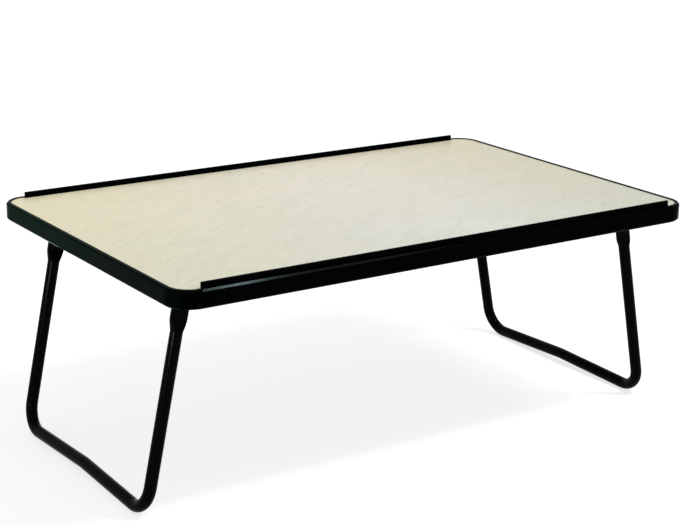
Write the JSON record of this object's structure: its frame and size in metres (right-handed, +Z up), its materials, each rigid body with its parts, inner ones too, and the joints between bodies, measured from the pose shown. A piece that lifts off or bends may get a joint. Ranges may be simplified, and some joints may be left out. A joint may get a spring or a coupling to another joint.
{
  "type": "bed tray table",
  "caption": "Low rectangular tray table with a rounded pale board, black edge moulding, a raised rail along each long side and folding tube legs.",
  "frame": {"origin": "on the floor under the middle of the table, legs open", "axes": "+X to the right along the long side, +Y to the rear, +Z up from the floor"},
  "size_m": [0.6178, 0.38, 0.236],
  "materials": {
    "particle_board": "raw particle board, closed in",
    "birch_laminate": "pale birch-effect laminate, satin",
    "black_pvc": "black extruded plastic, satin",
    "black_powder_coat": "gloss black powder coat on steel tube",
    "black_bracket_steel": "black paint on pressed sheet steel",
    "zinc_steel": "zinc-plated steel",
    "nylon": "natural nylon"
  },
  "bodies": {
    "tray": {"board_core": "particle_board", "top_laminate": "birch_laminate", "backing_laminate": "birch_laminate", "edge_moulding": "black_pvc", "front_lip_rail": "black_pvc", "rear_lip_rail": "black_pvc", "left_front_bracket": "black_bracket_steel", "left_rear_bracket": "black_bracket_steel", "right_front_bracket": "black_bracket_steel", "right_rear_bracket": "black_bracket_steel", "left_pivot_rivets": "zinc_steel", "right_pivot_rivets": "zinc_steel", "left_friction_washers": "nylon", "right_friction_washers": "nylon"},
    "left_leg": {"left_leg": "black_powder_coat"},
    "right_leg": {"right_leg": "black_powder_coat"}
  },
  "joints": [
    {"name": "left_leg_fold", "type": "hinge", "parent": "tray", "child": "left_leg", "pos_m": [-0.2634, 0, 0.202], "axis": [0, -1, 0], "range_deg": [0, 103]},
    {"name": "right_leg_fold", "type": "hinge", "parent": "tray", "child": "right_leg", "pos_m": [0.2634, 0, 0.202], "axis": [0, 1, 0], "range_deg": [0, 103]}
  ]
}
